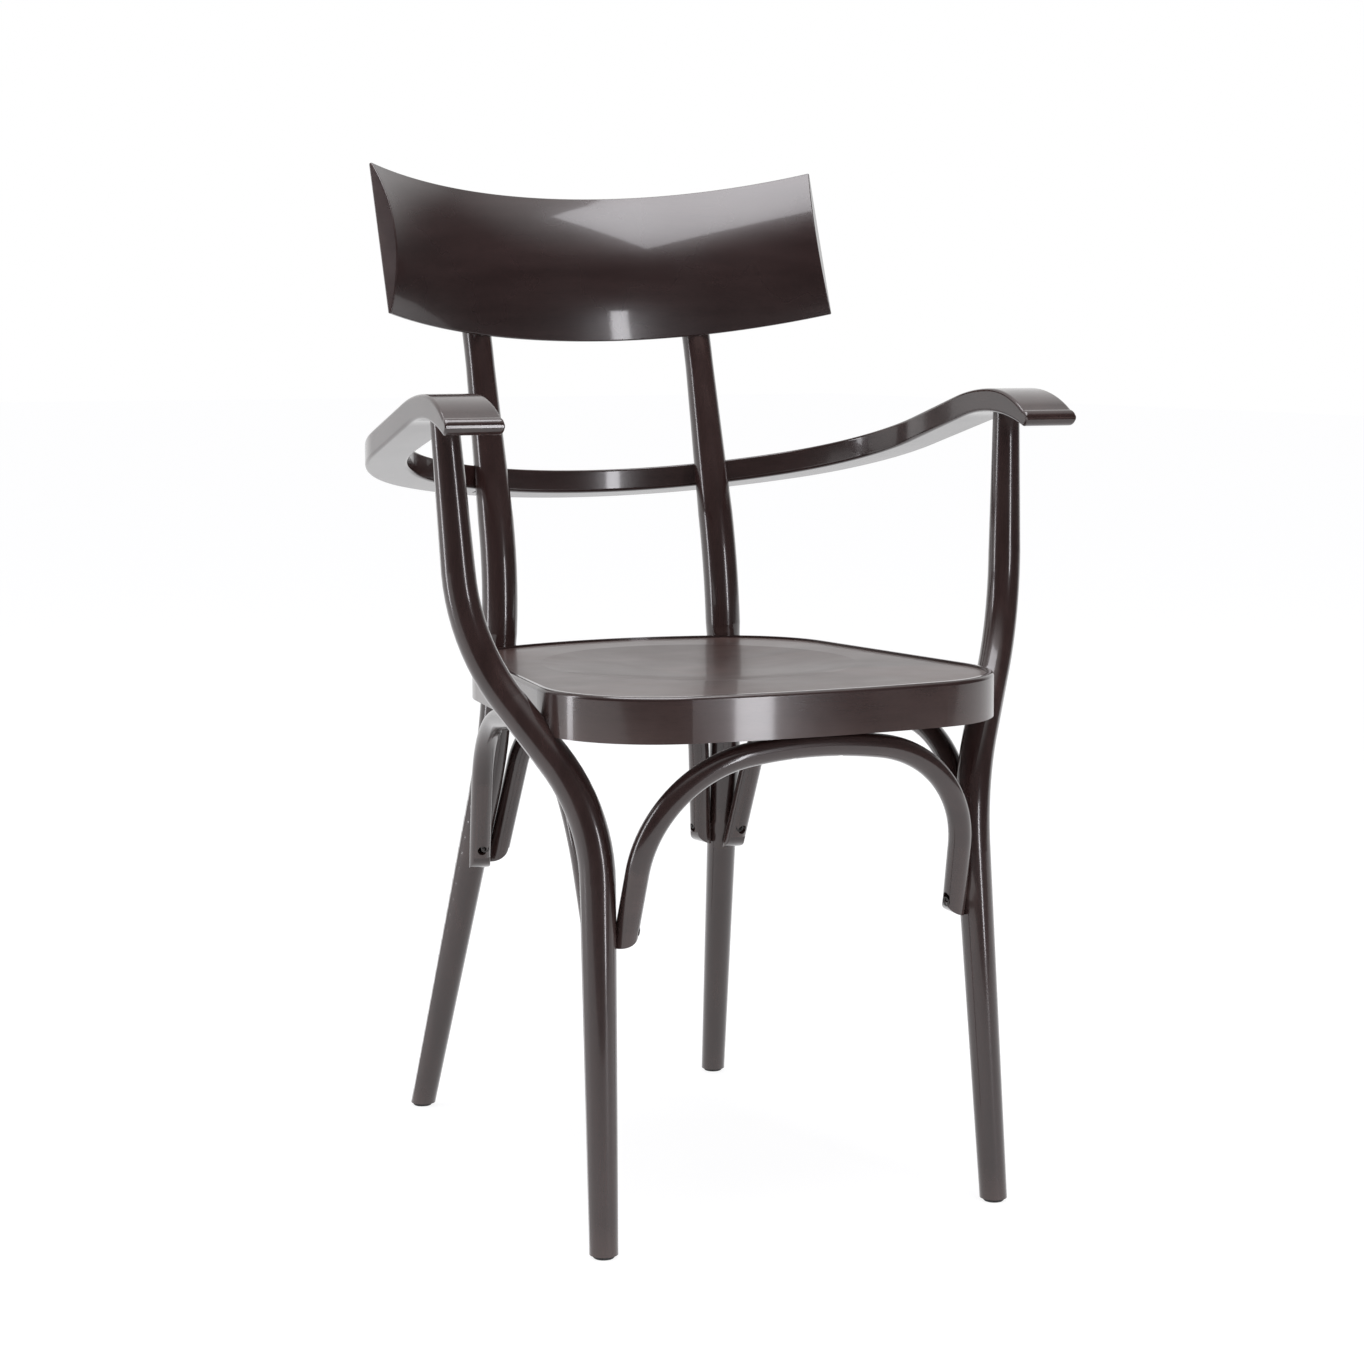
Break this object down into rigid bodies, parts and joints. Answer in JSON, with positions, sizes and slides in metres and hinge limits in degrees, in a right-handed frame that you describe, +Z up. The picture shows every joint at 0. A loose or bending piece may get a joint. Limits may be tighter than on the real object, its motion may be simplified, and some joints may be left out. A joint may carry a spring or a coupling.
{
  "type": "bentwood armchair",
  "caption": "Bentwood armchair: bent round legs that run up into arms and back, a ring seat with a dished panel, a wrap-round arm rail, a curved backrest board and arched braces.",
  "frame": {"origin": "on the floor under the middle of the chair's overall box", "axes": "+Z up, -Y towards the front of the chair, +X towards the sitter's left hand"},
  "size_m": [0.589, 0.5511, 0.9027],
  "materials": {
    "bent_wood": "dark brown lacquered beech, semi-gloss",
    "moulded_plywood": "dark brown lacquered plywood, semi-gloss",
    "screw_steel": "blackened steel",
    "glide_plastic": "black nylon"
  },
  "bodies": {
    "root": {"seat_ring": "bent_wood", "left_front_leg": "bent_wood", "right_front_leg": "bent_wood", "left_back_post": "bent_wood", "right_back_post": "bent_wood", "arm_rail": "bent_wood", "front_brace": "bent_wood", "back_brace": "bent_wood", "left_brace": "bent_wood", "right_brace": "bent_wood", "seat_panel": "moulded_plywood", "backrest_panel": "moulded_plywood", "brace_end_screws": "screw_steel", "brace_crown_screws": "screw_steel", "ring_screws": "screw_steel", "arm_rail_screws": "screw_steel", "backrest_screws": "screw_steel", "left_front_glide": "glide_plastic", "right_front_glide": "glide_plastic", "left_back_glide": "glide_plastic", "right_back_glide": "glide_plastic"}
  },
  "joints": []
}
